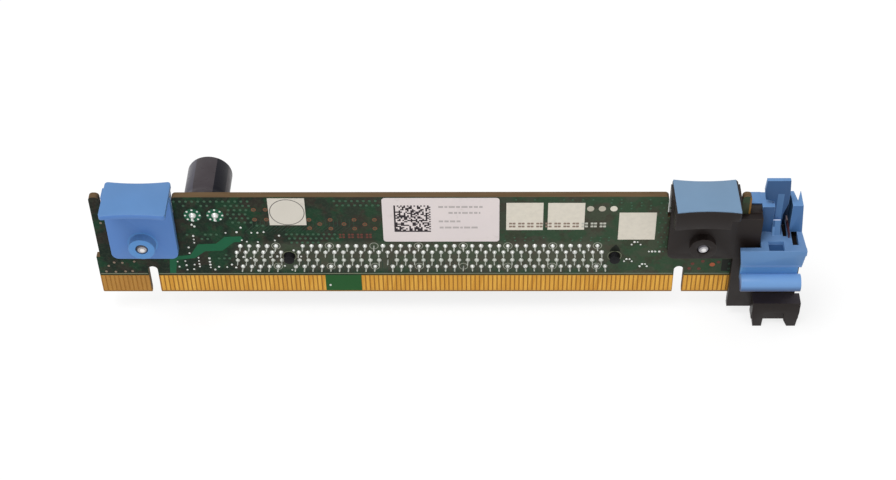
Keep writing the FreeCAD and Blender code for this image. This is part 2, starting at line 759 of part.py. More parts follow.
def make_all():
    return {
        "pcb": make_pcb(),
        "fingers_front": make_fingers(True),
        "fingers_back": make_fingers(False),
        "slot_housing": make_slot_housing(),
        "slot_contacts": make_slot_contacts(),
        "slot_solder_joints": make_slot_joints(),
        "capacitor_can": make_capacitor_can(),
        "capacitor_bung": make_capacitor_bung(),
        "capacitor_leads": make_capacitor_leads(),
        "capacitor_solder_joints": make_capacitor_joints(),
        "left_grip": make_left_grip(),
        "left_rivet": make_rivet(LEFT_GRIP),
        "guide_bracket": make_guide_bracket(),
        "right_grip_cap": make_grip_cap(),
        "right_rivet": make_rivet(RIGHT_GRIP),
        "latch": make_latch(),
        "latch_spring": make_latch_spring(),
        "large_label": make_label(large_label_inset, large_label_drop, large_label_width,
                                  large_label_height, large_label_radius),
        "small_label": make_label(small_label_inset, small_label_drop, small_label_width,
                                  small_label_height),
        "chip_bodies": make_chip_bodies(),
        "chip_leads": make_chip_leads(),
        "ceramic_capacitors": make_passives(ceramic_inset, ceramic_pitch, ceramic_count,
                                            ceramic_drop),
        "resistors": make_passives(resistor_inset, resistor_pitch, resistor_count,
                                   resistor_drop),
    }


os.makedirs("parts", exist_ok=True)
for name, shape in make_all().items():
    shape.exportStep(os.path.join("parts", name + ".step"))
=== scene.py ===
import bpy
import bmesh
import math
import random
from mathutils import Matrix, Vector


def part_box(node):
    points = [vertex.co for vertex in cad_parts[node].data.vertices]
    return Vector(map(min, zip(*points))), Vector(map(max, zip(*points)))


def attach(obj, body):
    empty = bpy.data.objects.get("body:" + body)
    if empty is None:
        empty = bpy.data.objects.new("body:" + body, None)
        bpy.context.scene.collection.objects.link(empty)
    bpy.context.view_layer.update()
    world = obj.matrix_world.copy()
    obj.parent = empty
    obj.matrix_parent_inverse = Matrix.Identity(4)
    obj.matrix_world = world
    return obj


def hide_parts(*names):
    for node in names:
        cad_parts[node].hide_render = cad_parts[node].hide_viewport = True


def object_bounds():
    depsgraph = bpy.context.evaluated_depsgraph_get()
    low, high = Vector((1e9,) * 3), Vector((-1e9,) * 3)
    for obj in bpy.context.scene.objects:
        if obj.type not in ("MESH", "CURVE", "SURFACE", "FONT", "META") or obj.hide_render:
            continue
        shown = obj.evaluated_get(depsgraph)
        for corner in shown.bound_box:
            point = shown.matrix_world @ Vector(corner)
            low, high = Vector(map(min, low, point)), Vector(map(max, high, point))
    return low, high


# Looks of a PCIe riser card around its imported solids. Lengths are millimetres until a
# mesh or a shader is made; the board's solder side faces -Y.
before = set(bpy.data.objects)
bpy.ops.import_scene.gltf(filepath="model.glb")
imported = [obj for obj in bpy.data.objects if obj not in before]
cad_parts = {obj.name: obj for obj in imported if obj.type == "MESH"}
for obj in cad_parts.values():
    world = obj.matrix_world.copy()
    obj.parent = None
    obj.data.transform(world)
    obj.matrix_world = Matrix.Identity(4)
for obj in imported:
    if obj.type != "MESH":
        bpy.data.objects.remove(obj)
cad_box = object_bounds()
MM = 0.001
BODY = "root"
rng = random.Random(7)


def span(node):
    """Lowest and highest corner of a node, in millimetres."""
    low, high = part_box(node)
    return Vector(low) / MM, Vector(high) / MM


def middle(node):
    """X and Z of a node's middle."""
    low, high = span(node)
    return (low.x + high.x) / 2, (low.z + high.z) / 2


# ---------------------------------------------------------------- places on the part
BOARD_LOW, BOARD_HIGH = span("pcb")
FRONT, BACK = BOARD_LOW.y, BOARD_HIGH.y
LEFT, RIGHT = BOARD_LOW.x, BOARD_HIGH.x
FINGER_TOP = span("fingers_front")[1].z
FINGER_GAP = (-21.6, -13.3)               # green stretch of the card edge without fingers
MASK_EDGE = FINGER_TOP + 0.1              # the solder mask begins here, above the fingers
CHAMFER_TOP = 0.76                        # of the bevel along the card edge
HORN_FOOT, HORN_RIM = 25, 0.4             # the bare rim of the horn at the right end
KEYS = (LEFT + 12.3, RIGHT - 14.3)        # middles of the slots in the card edge
KEY_HALF = 1.3                            # half a slot's width, with some clearance
SLOT_Z = middle("slot_housing")[1]
CONTACT_LOW, CONTACT_HIGH = span("slot_contacts")
CONTACT_ONE = CONTACT_LOW.x + 0.2
CONTACTS = 82                             # along each face of the slot
ROWS = (3.25, 1.25, -1.25, -3.25)         # heights of the joints from the slot's middle
LATCH_PLATE = span("latch")[1].z - 14.5   # top of the latch's level plate
LEVER_MIDDLE = RIGHT + 6.75
INK = 0.02                                # thickness of silk print and masked copper
TRACK = 0.015                             # thickness of tracks and the faintest print
COPPER = 0.03                             # thickness of bare pads
CREASE, MOULDING_CREASE = 40, 50          # degrees from which an edge stays sharp


def contact_x(number):
    """X of a contact, with the two places that the slot's key takes."""
    return CONTACT_ONE + number - 1 + (2 if number > 11 else 0)


# ---------------------------------------------------------------- shader tools
def srgb(r, g, b):
    """Linear colour of an 8-bit sRGB one."""
    def lin(v):
        v /= 255
        return v / 12.92 if v <= 0.04045 else ((v + 0.055) / 1.055) ** 2.4
    return (lin(r), lin(g), lin(b), 1)


class Nodes:
    """A new material, with short ways to add and join its nodes."""

    def __init__(self, name):
        self.mat = bpy.data.materials.new(name)
        self.mat.use_nodes = True
        self.tree = self.mat.node_tree
        self.shader = self.tree.nodes["Principled BSDF"]
        self.place = self.add("ShaderNodeTexCoord").outputs["Object"]

    def add(self, kind, **values):
        """A node with some of its attributes set."""
        node = self.tree.nodes.new(kind)
        for key, value in values.items():
            setattr(node, key, value)
        return node

    def feed(self, value, socket):
        """Joins an output to a socket, or writes a plain value there."""
        if isinstance(value, bpy.types.NodeSocket):
            self.tree.links.new(value, socket)
        else:
            socket.default_value = value

    def set(self, **values):
        """Feeds the shader's inputs, named with underscores for spaces."""
        for key, value in values.items():
            self.feed(value, self.shader.inputs[key.replace("_", " ")])

    def noise(self, scale, detail=3, rough=0.6, place=None):
        """Noise with its scale in cycles a metre."""
        node = self.add("ShaderNodeTexNoise")
        self.feed(scale, node.inputs["Scale"])
        self.feed(detail, node.inputs["Detail"])
        self.feed(rough, node.inputs["Roughness"])
        self.feed(place or self.place, node.inputs["Vector"])
        return node.outputs["Fac"]

    def mapped(self, scale=(1, 1, 1), shift=0.0):
        """The object's own coordinates, stretched or read further along."""
        node = self.add("ShaderNodeMapping")
        self.feed(scale, node.inputs["Scale"])
        self.feed((shift, shift, shift), node.inputs["Location"])
        self.feed(self.place, node.inputs["Vector"])
        return node.outputs["Vector"]

    def ramp(self, fac, *stops):
        """A colour ramp; a stop's colour may be one grey value."""
        node = self.add("ShaderNodeValToRGB")
        els = node.color_ramp.elements
        while len(els) < len(stops):
            els.new(0.5)
        for el, (pos, col) in zip(els, stops):
            el.position = pos
            el.color = col if isinstance(col, tuple) else (col, col, col, 1)
        self.feed(fac, node.inputs["Fac"])
        return node.outputs["Color"]

    def mix(self, fac, a, b, kind="MIX"):
        """A colour between two others."""
        node = self.add("ShaderNodeMix", data_type="RGBA", blend_type=kind)
        for value, index in ((fac, 0), (a, 6), (b, 7)):
            self.feed(value, node.inputs[index])
        return node.outputs[2]

    def math(self, kind, a, b=0.0, clamp=False):
        node = self.add("ShaderNodeMath", operation=kind, use_clamp=clamp)
        self.feed(a, node.inputs[0])
        self.feed(b, node.inputs[1])
        return node.outputs[0]

    def axis(self, letter, source=None):
        """One part of a vector, or of the object's own coordinates."""
        node = self.add("ShaderNodeSeparateXYZ")
        self.feed(source or self.place, node.inputs[0])
        return node.outputs["XYZ".index(letter)]

    def facing(self, letter, limit):
        """One where a face's normal passes a limit along an axis, of either sign."""
        normal = self.axis(letter, self.add("ShaderNodeNewGeometry").outputs["True Normal"])
        return self.math("LESS_THAN" if limit < 0 else "GREATER_THAN", normal, limit)

    def above(self, value, length):
        """One where a value in metres passes a length in millimetres."""
        return self.math("GREATER_THAN", value, length * MM)

    def below(self, value, length):
        return self.math("LESS_THAN", value, length * MM)

    def within(self, value, low, high):
        return self.math("MULTIPLY", self.above(value, low), self.below(value, high))

    def fading(self, value, low, high, fade):
        """One between two lengths, falling to zero at both over a third."""
        up = self.math("DIVIDE", self.math("SUBTRACT", value, low * MM), fade * MM, True)
        down = self.math("DIVIDE", self.math("SUBTRACT", high * MM, value), fade * MM, True)
        return self.math("MULTIPLY", up, down)

    def off_axis(self, x, z):
        """Distance from a line along Y, in metres."""
        dx = self.math("SUBTRACT", self.axis("X"), x * MM)
        dz = self.math("SUBTRACT", self.axis("Z"), z * MM)
        return self.math("SQRT", self.math("ADD", self.math("MULTIPLY", dx, dx),
                                           self.math("MULTIPLY", dz, dz)))

    def bump(self, height, strength, depth):
        """Relief with its depth in millimetres."""
        node = self.add("ShaderNodeBump")
        self.feed(strength, node.inputs["Strength"])
        self.feed(depth * MM, node.inputs["Distance"])
        self.feed(height, node.inputs["Height"])
        self.feed(node.outputs["Normal"], self.shader.inputs["Normal"])

    def edges(self, radius):
        """Near one close to a sharp edge."""
        soft = self.add("ShaderNodeBevel", samples=4)
        self.feed(radius * MM, soft.inputs["Radius"])
        same = self.add("ShaderNodeVectorMath", operation="DOT_PRODUCT")
        self.feed(soft.outputs["Normal"], same.inputs[0])
        self.feed(self.add("ShaderNodeNewGeometry").outputs["Normal"], same.inputs[1])
        return self.axis("X", self.ramp(same.outputs["Value"], (0.88, 1.0), (0.985, 0.0)))


# ---------------------------------------------------------------- materials
def plastic(name, colour, rim_wear_and_highlight, rough=0.42, gloss=0.25, shades=None):
    """Moulded plastic: spark-eroded grain, faint flow shades, edges rubbed paler in patches with a
    painted highlight along every sharp edge, and painted shade and light where a part passes them.
    """
    n = Nodes(name)
    flow = n.ramp(n.noise(110, 2), (0.35, 0.0), (0.7, 1.0))
    dark = tuple(c * 0.93 for c in colour[:3]) + (1,)
    base = n.mix(flow, dark, colour)
    # painted shade and light of the parts that have them
    if shades:
        base = shades(n, base)
    # paler edges: rubbed wear in patches, over a painted highlight along every sharp edge
    marks = n.ramp(n.noise(420, 4), (0.4, 0.25), (0.7, 0.8))
    rubbed_and_lit = n.math("MULTIPLY", n.edges(0.22), n.axis("X", marks), True)
    shine = n.ramp(n.noise(300, 3), (0.3, rough - 0.06), (0.8, rough + 0.08))
    n.set(Base_Color=n.mix(rubbed_and_lit, base, rim_wear_and_highlight), Roughness=shine, Specular_IOR_Level=gloss)
    n.bump(n.noise(2500, 2), 0.5, 0.02)
    return n.mat


def latch_painted_shading(n, base):
    """Painted shade and light on the latch: deeper blue on the upright faces behind the board and
    in the pocket, painted highlights on the ledges and the roll.
    """
    x, y, z = (n.axis(c) for c in "XYZ")
    upright, level, inward = n.facing("Y", -0.6), n.facing("Z", 0.8), n.facing("X", -0.7)
    behind = n.above(y, BACK - 0.5)
    wall_front = n.below(y, FRONT - 4.4)

    def heights(low, high):
        return n.within(z, LATCH_PLATE + low, LATCH_PLATE + high)

    rib = n.within(x, LEVER_MIDDLE - 0.7, LEVER_MIDDLE + 0.7)
    turned = n.math("DIVIDE", n.math("SUBTRACT", (LATCH_PLATE - 7.7) * MM, z), 1.5 * MM, True)
    for colour, masks in (
            # painted shade on the faces behind the board, less on the right column and the lever's
            # rib, most on the deepest wall
            ((54, 90, 136), (upright, behind)),
            ((72, 114, 166), (upright, behind, n.above(x, LEVER_MIDDLE + 2.2))),
            ((84, 124, 172), (upright, rib, heights(0, 10.6))),
            ((36, 58, 88), (upright, n.above(y, BACK + 2.6))),
            ((44, 68, 92), (inward, n.above(x, LEVER_MIDDLE + 1), behind)),
            # painted light on the plate, painted shade on the pocket's floor and the ledge, a
            # painted highlight on the ledge's front edge
            ((102, 138, 184), (level, heights(-0.3, 0.2))),
            ((42, 76, 120), (level, heights(-1.4, -0.6))),
            ((70, 104, 152), (level, heights(3.3, 3.7))),
            ((214, 224, 248), (level, heights(3.3, 3.7), n.below(y, BACK + 0.35))),
            # painted light on the neck and the roll, painted shade on the roll's underside, a
            # painted highlight along the lower edge of the wall
            ((110, 164, 216), (n.below(y, FRONT - 1.6), heights(-7.4, -5.0))),
            ((114, 158, 212), (wall_front, n.below(z, LATCH_PLATE - 5.0))),
            ((42, 72, 122), (wall_front, turned)),
            ((118, 156, 206), (wall_front, upright, heights(-5.0, -4.35)))):
        mask = masks[0]
        for other in masks[1:]:
            mask = n.math("MULTIPLY", mask, other)
        base = n.mix(mask, base, srgb(*colour))
    return base


def grip_painted_light(n, base):
    """Painted light: upright faces tinted a little more violet than the top for how light falls on
    them, and a brighter, clearer blue boss.
    """
    upright = n.facing("Y", -0.6)
    boss = n.math("MULTIPLY", upright, n.below(n.off_axis(*middle("left_rivet")), 3.4))
    return n.mix(boss, n.mix(upright, base, srgb(92, 138, 206)), srgb(96, 154, 218))


def bracket_painted_light(n, base):
    """Painted light on the level faces down at the legs, which lie in shade."""
    lit_low_tops = n.math("MULTIPLY", n.facing("Z", 0.8), n.below(n.axis("Z"), 2.5))
    return n.mix(lit_low_tops, base, srgb(58, 52, 58))


def metal(name, colour, rough):
    """Plain metal with a mottled tone."""
    n = Nodes(name)
    tone = n.ramp(n.noise(900, 3), (0.3, 0.82), (0.8, 1.0))
    shine = n.ramp(n.noise(1500, 2), (0.3, rough - 0.05), (0.8, rough + 0.1))
    n.set(Base_Color=n.mix(1.0, colour, tone, "MULTIPLY"), Metallic=1.0, Roughness=shine)
    n.bump(n.noise(2600, 2), 0.3, 0.01)
    return n.mat


def rivet_material(node):
    """A turned steel head with painted highlight and shade: bright round its dimple, a little off
    its middle, darker towards the rim.
    """
    n = Nodes(node + "_steel")
    x, z = middle(node)
    far = n.math("DIVIDE", n.off_axis(x + 0.15, z - 0.15), 1.1 * MM)
    tone = n.ramp(far, (0.0, srgb(244, 242, 242)), (0.4, srgb(232, 230, 230)),
                  (0.62, srgb(150, 148, 152)), (0.8, srgb(184, 182, 186)),
                  (1.0, srgb(84, 82, 88)))
    shine = n.ramp(n.noise(1500, 2), (0.3, 0.25), (0.8, 0.4))
    n.set(Base_Color=tone, Metallic=0.6, Roughness=shine)
    n.bump(n.noise(1400, 3), 0.4, 0.03)
    return n.mat


def print_ink(name, colour, rough=0.55):
    """Silk-screened ink: flat, with a slightly broken surface."""
    n = Nodes(name)
    worn = n.ramp(n.noise(900, 3), (0.3, 0.93), (0.6, 1.0))
    n.set(Base_Color=n.mix(1.0, colour, worn, "MULTIPLY"), Roughness=rough,
          Specular_IOR_Level=0.2)
    n.bump(n.noise(3000, 2), 0.4, 0.01)
    return n.mat


def chip_part(node, colour, rough, count, pitch):
    """A row of small chip parts, each with a tinned cap at both ends."""
    n = Nodes(node + "_body")
    low, high = span(node)
    length = high.x - low.x - (count - 1) * pitch
    from_middle = n.math("PINGPONG", n.math("SUBTRACT", n.axis("X"), (low.x + length / 2) * MM),
                         pitch / 2 * MM)
    worn = n.ramp(n.noise(900, 3), (0.3, 0.93), (0.6, 1.0))
    body = n.mix(1.0, colour, worn, "MULTIPLY")
    tinned = n.above(from_middle, length / 2 - 0.3)
    n.set(Base_Color=n.mix(tinned, body, srgb(206, 206, 204)), Roughness=rough)
    n.bump(n.noise(3000, 2), 0.4, 0.01)
    return n.mat


def board_mask(n, x, z):
    """Green solder mask, which shows copper planes, bare laminate, a painted sheen and a paler
    strip along the joints.
    """
    # painted sheen: darker and greener at the left, greyer towards the right
    along = n.math("DIVIDE", n.math("SUBTRACT", x, LEFT * MM), (RIGHT - LEFT) * MM, True)
    mask = n.ramp(along, (0.0, srgb(12, 32, 20)), (0.3, srgb(21, 39, 27)),
                  (0.55, srgb(58, 64, 52)), (0.8, srgb(67, 75, 59)), (1.0, srgb(59, 77, 55)))
    plane = n.ramp(n.noise(190, 3, 0.6), (0.47, 0.0), (0.56, 0.75))
    mask = n.mix(n.axis("X", plane), mask, n.mix(0.6, mask, srgb(14, 76, 44)))
    brown = n.ramp(n.noise(300, 3, 0.6, n.mapped(shift=0.3)), (0.5, 0.0), (0.58, 0.75))
    mask = n.mix(n.axis("X", brown), mask, n.mix(0.5, mask, srgb(64, 42, 38)))
    speck = n.ramp(n.noise(1700, 3, 0.7), (0.45, 0.0), (0.7, 0.2))
    mask = n.mix(n.axis("X", speck), mask, srgb(84, 98, 78))
    # the strip of solder joints is paler and greyer
    strip = n.math("MULTIPLY", n.fading(z, SLOT_Z - 5.0, SLOT_Z + 5.0, 1.5),
                   n.fading(x, CONTACT_ONE - 2.0, CONTACT_HIGH.x + 2.0, 5.0))
    mask = n.mix(n.math("MULTIPLY", strip, 0.36), mask, srgb(104, 102, 88))
    rim = n.math("MULTIPLY", n.within(z, MASK_EDGE, MASK_EDGE + 0.6), 0.6)
    return n.mix(rim, mask, srgb(22, 52, 30))


def board_material():
    """Solder mask on the faces, glass laminate at the cut edges and the card edge."""
    n = Nodes("board_mask")
    x, y, z = (n.axis(c) for c in "XYZ")
    mask = board_mask(n, x, z)
    # bare laminate between the fingers, and green where there are none
    laminate = n.mix(n.noise(600, 2), srgb(184, 130, 54), srgb(158, 108, 44))
    gap = n.within(x, *FINGER_GAP)
    low = n.below(z, MASK_EDGE)
    bare = n.math("MULTIPLY", low, n.math("SUBTRACT", 1.0, gap))
    face = n.mix(n.math("MULTIPLY", low, gap), n.mix(bare, mask, laminate), srgb(38, 92, 46))
    # the tall horn at the right end is bare along its rim
    horn = n.math("MULTIPLY", n.above(z, HORN_FOOT), n.above(x, RIGHT - HORN_RIM))
    face = n.mix(horn, face, srgb(142, 104, 52))
    # cut edges show the glass plies
    plies = n.add("ShaderNodeTexWave", wave_type="BANDS", bands_direction="Y")
    n.feed(900, plies.inputs["Scale"])
    n.feed(2.0, plies.inputs["Distortion"])
    n.feed(2.0, plies.inputs["Detail"])
    n.feed(n.place, plies.inputs["Vector"])
    fibre = n.noise(400, 4, place=n.mapped((0.25, 4, 1)))
    cut = n.mix(plies.outputs["Fac"], srgb(108, 86, 62), srgb(84, 66, 44))
    cut = n.mix(n.ramp(fibre, (0.4, 0.0), (0.75, 0.6)), cut, srgb(122, 100, 72))
    normal = n.axis("Y", n.add("ShaderNodeNewGeometry").outputs["True Normal"])
    flat = n.math("GREATER_THAN", n.math("ABSOLUTE", normal), 0.9)
    chamfer = n.mix(fibre, srgb(178, 128, 62), srgb(136, 100, 54))
    colour = n.mix(n.below(z, CHAMFER_TOP), n.mix(flat, cut, face), chamfer)
    shine = n.ramp(n.noise(260, 3), (0.3, 0.34), (0.8, 0.46))
    n.set(Base_Color=colour, Roughness=n.mix(flat, (0.7, 0.7, 0.7, 1), shine),
          Specular_IOR_Level=0.12)
    n.bump(n.noise(700, 4), 0.25, 0.03)
    return n.mat


def gold_material():
    """Hard gold with wipe marks along each finger and small differences between fingers."""
    n = Nodes("gold")
    own = n.add("ShaderNodeNewGeometry").outputs["Random Per Island"]
    tone = n.ramp(own, (0.0, srgb(214, 156, 58)), (0.5, srgb(228, 174, 72)),
                  (1.0, srgb(206, 146, 48)))
    wipe = n.noise(500, 4, place=n.mapped((7, 1, 0.35)))
    tone = n.mix(n.ramp(wipe, (0.5, 0.0), (0.85, 0.3)), tone, srgb(180, 122, 42))
    # the short group left of the first key is duller
    short = n.math("MULTIPLY", n.below(n.axis("X"), KEYS[0]), 0.8)
    tone = n.mix(short, tone, srgb(166, 118, 56))
    height = n.math("DIVIDE", n.axis("Z"), FINGER_TOP * MM, True)
    low = n.ramp(height, (0.12, 0.25), (0.3, 0.0))
    tone = n.mix(n.axis("X", low), tone, srgb(172, 120, 50))
    n.set(Base_Color=tone, Metallic=0.7, Roughness=n.ramp(wipe, (0.3, 0.34), (0.8, 0.5)))
    n.bump(wipe, 0.3, 0.01)
    return n.mat


def solder_material(name, low, high):
    """Reflowed solder: bright, a little frosted."""
    n = Nodes(name)
    tone = n.ramp(n.noise(1600, 3), (0.3, srgb(*low)), (0.7, srgb(*high)))
    shine = n.ramp(n.noise(2400, 2), (0.3, 0.24), (0.8, 0.42))
    n.set(Base_Color=tone, Metallic=0.3, Roughness=shine)
    n.bump(n.noise(2200, 2), 0.35, 0.02)
    return n.mat


def label_material(name, colour, tint):
    """Paper film with soft clouds and a little dirt."""
    n = Nodes(name)
    soft = n.ramp(n.noise(60, 3), (0.3, 0.0), (0.8, 1.0))
    dirt = n.ramp(n.noise(500, 5), (0.6, 0.0), (0.85, 0.35))
    base = n.mix(n.axis("X", dirt), n.mix(soft, colour, tint), srgb(176, 168, 160))
    n.set(Base_Color=base, Roughness=0.5, Specular_IOR_Level=0.3)
    n.bump(n.noise(220, 3), 0.3, 0.04)
    return n.mat


def spring_material():
    """Thin steel strip, tarnished brown but for its bright end."""
    n = Nodes("spring_steel")
    stain = n.mix(n.noise(700, 3), srgb(74, 40, 48), srgb(104, 62, 64))
    tip = n.above(n.axis("Y"), BACK + 2.3)
    shine = n.ramp(n.noise(1500, 2), (0.3, 0.35), (0.8, 0.5))
    n.set(Base_Color=n.mix(tip, stain, srgb(240, 214, 210)), Metallic=0.4, Roughness=shine)
    n.bump(n.noise(2600, 2, place=n.mapped((1, 40, 1))), 0.3, 0.01)
    return n.mat


def sleeve_material(x, z):
    """Shrink sleeve: brown-black film, with a painted dark reflection on one side and a painted
    highlight on the other.
    """
    n = Nodes("capacitor_sleeve")
    turn = n.math("ARCTAN2", n.math("SUBTRACT", n.axis("Z"), z * MM),
                  n.math("SUBTRACT", n.axis("X"), x * MM))
    film = n.mix(n.noise(200, 3), srgb(60, 54, 57), srgb(76, 71, 75))
    # painted dark reflection in a band along one side
    dark = n.math("LESS_THAN", n.math("ABSOLUTE", n.math("SUBTRACT", turn, 0.8)), 0.33)
    film = n.mix(dark, film, srgb(22, 22, 30))
    # painted highlight on the other side
    highlight_side = n.math("MULTIPLY", n.math("GREATER_THAN", turn, 2.1), 0.5)
    film = n.mix(highlight_side, film, srgb(96, 96, 108))
    shine = n.ramp(n.noise(500, 3), (0.3, 0.25), (0.8, 0.4))
    n.set(Base_Color=film, Roughness=shine, Specular_IOR_Level=0.1)
    n.bump(n.noise(260, 4, place=n.mapped((1, 0.3, 1))), 0.5, 0.06)
    return n.mat


BLUE_RIM_WEAR_AND_HIGHLIGHT = srgb(138, 170, 212)
MAT = {
    "board": board_material(),
    "gold": gold_material(),
    "solder": solder_material("solder", (206, 208, 204), (240, 240, 236)),
    "solder_dull": solder_material("solder_dull", (190, 194, 186), (214, 216, 208)),
    "tip": solder_material("pin_tip", (186, 190, 182), (220, 222, 214)),
    "grip": plastic("grip_blue", srgb(94, 137, 190), BLUE_RIM_WEAR_AND_HIGHLIGHT, shades=grip_painted_light),
    "cap": plastic("cap_blue", srgb(118, 148, 178), srgb(150, 176, 204)),
    "latch": plastic("latch_blue", srgb(102, 145, 196), BLUE_RIM_WEAR_AND_HIGHLIGHT, 0.38, shades=latch_painted_shading),
    "black": plastic("bracket_black", srgb(36, 29, 27), srgb(72, 62, 58), 0.42, 0.2,
                     shades=bracket_painted_light),
    "slot": plastic("slot_plastic", srgb(24, 24, 26), srgb(50, 50, 52), 0.5, 0.12),
    "spring": spring_material(),
    "contact": metal("contact_metal", srgb(214, 176, 104), 0.3),
    "wire": metal("tinned_wire", srgb(216, 217, 220), 0.25),
    "aluminium": metal("capacitor_can_end", srgb(186, 188, 192), 0.35),
    "label": label_material("label_white", srgb(242, 231, 229), srgb(234, 224, 224)),
    "sticker": label_material("sticker_paper", srgb(232, 226, 214), srgb(222, 216, 204)),
    "silk": print_ink("silk_white", srgb(236, 229, 214)),
    "silk_dot": print_ink("silk_dot", srgb(194, 188, 172)),
    "silk_ring": print_ink("silk_ring", srgb(166, 170, 156)),
    "via_bare": print_ink("via_bare", srgb(204, 204, 192)),
    "silk_faint": print_ink("silk_faint", srgb(132, 136, 114)),
    "ink": print_ink("ink_black", srgb(48, 42, 46)),
    "ink_pale": print_ink("ink_grey", srgb(196, 188, 186)),
    "pen": print_ink("pen_grey", srgb(110, 106, 102)),
    "trace": print_ink("trace_green", srgb(4, 96, 60), 0.4),
    "track": print_ink("track_green", srgb(40, 66, 50), 0.4),
    "relief": print_ink("relief_green", srgb(14, 92, 62), 0.4),
    "via_masked": print_ink("via_masked", srgb(62, 98, 74), 0.4),
    "via_dark": print_ink("via_dark", srgb(148, 128, 114), 0.5),
    "copper": print_ink("pad_copper", srgb(140, 84, 60), 0.4),
    "copper_bare": print_ink("pad_bare", srgb(184, 96, 62), 0.4),
    "copper_dull": print_ink("pad_dull", srgb(88, 80, 58), 0.5),
    "copper_red": print_ink("via_red", srgb(112, 62, 52), 0.5),
    "via_pink": print_ink("via_pink", srgb(150, 130, 112), 0.5),
    # painted shadow on the board near the right end
    "dark": print_ink("painted_shadow_patch", srgb(20, 26, 18), 0.5),
    "chip": plastic("chip_epoxy", srgb(34, 34, 36), srgb(64, 64, 64), 0.6),
    "ceramic": chip_part("ceramic_capacitors", srgb(150, 118, 88), 0.45, 14, 4.0),
    "resistor": chip_part("resistors", srgb(32, 32, 36), 0.35, 6, 3.0),
    "rubber": plastic("capacitor_rubber", srgb(26, 24, 24), srgb(46, 44, 44), 0.7),
}


# ---------------------------------------------------------------- mesh tools
def linked(name, data):
    """A new object in the scene."""
    obj = bpy.data.objects.new(name, data)
    bpy.context.scene.collection.objects.link(obj)
    return obj


def circle(x, z, radius, y, sides):
    """Points of a circle that faces along Y."""
    turns = (2 * math.pi * i / sides for i in range(sides))
    return [(x + radius * math.cos(a), y, z + radius * math.sin(a)) for a in turns]


def smooth_by_angle(obj, degrees):
    """Smooth shading, with edges steeper than the angle kept sharp."""
    bm = bmesh.new()
    bm.from_mesh(obj.data)
    limit = math.radians(degrees)
    for face in bm.faces:
        face.smooth = True
    for edge in bm.edges:
        edge.smooth = len(edge.link_faces) == 2 and edge.calc_face_angle(0) < limit
    bm.to_mesh(obj.data)
    bm.free()


class Pile:
    """Many small solids gathered in one mesh, in millimetres."""

    def __init__(self):
        self.verts = []
        self.faces = []

    def walls(self, rings, around=False):
        """Joins rings of equal length, and the last to the first if it goes around."""
        base, count = len(self.verts), len(rings[0])
        for ring in rings:
            self.verts.extend(ring)
        for k in range(len(rings) if around else len(rings) - 1):
            a, b = base + k * count, base + (k + 1) % len(rings) * count
            for i in range(count):
                j = (i + 1) % count
                self.faces.append((a + i, a + j, b + j, b + i))

    def stack(self, rings):
        """A solid through rings of equal length, closed at the first and the last."""
        base, count = len(self.verts), len(rings[0])
        self.walls(rings)
        last = base + (len(rings) - 1) * count
        self.faces.append(tuple(base + i for i in reversed(range(count))))
        self.faces.append(tuple(last + i for i in range(count)))

    def turned(self, x, z, profile, sides, lean=(0.0, 0.0)):
        """A round solid along Y from (radius, y) pairs; lean shifts x and z with y."""
        foot = profile[0][1]
        self.stack([circle(x + lean[0] * (y - foot), z + lean[1] * (y - foot), r, y, sides)
                    for r, y in profile])

    def slab(self, outline, y0, y1):
        """An outline in X and Z between two depths."""
        self.stack([[(x, y, z) for x, z in outline] for y in (y0, y1)])

    def rect(self, x0, z0, x1, z1, thick, radius=0.0, y=FRONT):
        """A thin plate on a face, with round corners if it has a radius."""
        outline = [(x0, z0), (x1, z0), (x1, z1), (x0, z1)]
        if radius:
            corners = ((x1 - radius, z1 - radius, 0), (x0 + radius, z1 - radius, 90),
                       (x0 + radius, z0 + radius, 180), (x1 - radius, z0 + radius, 270))
            outline = [(cx + radius * math.cos(a), cz + radius * math.sin(a))
                       for cx, cz, start in corners
                       for a in (math.radians(start + 15 * k) for k in range(7))]
        self.slab(outline, y, y - thick)

    def disc(self, x, z, radius, thick, sides):
        """A thin round plate on the solder side."""
        self.turned(x, z, [(radius, FRONT), (radius, FRONT - thick)], sides)

    def annulus(self, x, z, outer, inner, thick, sides=28, y=FRONT):
        """A flat ring on a face."""
        corners = ((outer, y), (outer, y - thick), (inner, y - thick), (inner, y))
        self.walls([circle(x, z, r, depth, sides) for r, depth in corners], around=True)

    def make(self, name, material, slot, smooth=False, replaces=()):
        """One piece on the board's body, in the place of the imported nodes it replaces."""
        mesh = bpy.data.meshes.new(name)
        mesh.from_pydata([tuple(c * MM for c in v) for v in self.verts], [], self.faces)
        bm = bmesh.new()
        bm.from_mesh(mesh)
        bmesh.ops.recalc_face_normals(bm, faces=bm.faces)
        bm.to_mesh(mesh)
        bm.free()
        obj = linked(name, mesh)
        obj.data.materials.append(material)
        if smooth:
            smooth_by_angle(obj, CREASE)
        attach(obj, BODY)
        if replaces:
            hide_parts(*replaces)


def discs(name, key, slot, places, radius, thick, sides):
    """One piece of equal thin discs."""
    pile = Pile()
    for x, z in places:
        pile.disc(x, z, radius, thick, sides)
    pile.make(name, MAT[key], slot)


def shifted(*places):
    """Places along the board counted from the slot's first contact."""
    return [(x + CONTACT_ONE, z) for x, z in places]


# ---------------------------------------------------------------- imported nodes
def paint(mesh, material):
    """One material on every face."""
    mesh.materials.clear()
    mesh.materials.append(material)
    for poly in mesh.polygons:
        poly.material_index = 0


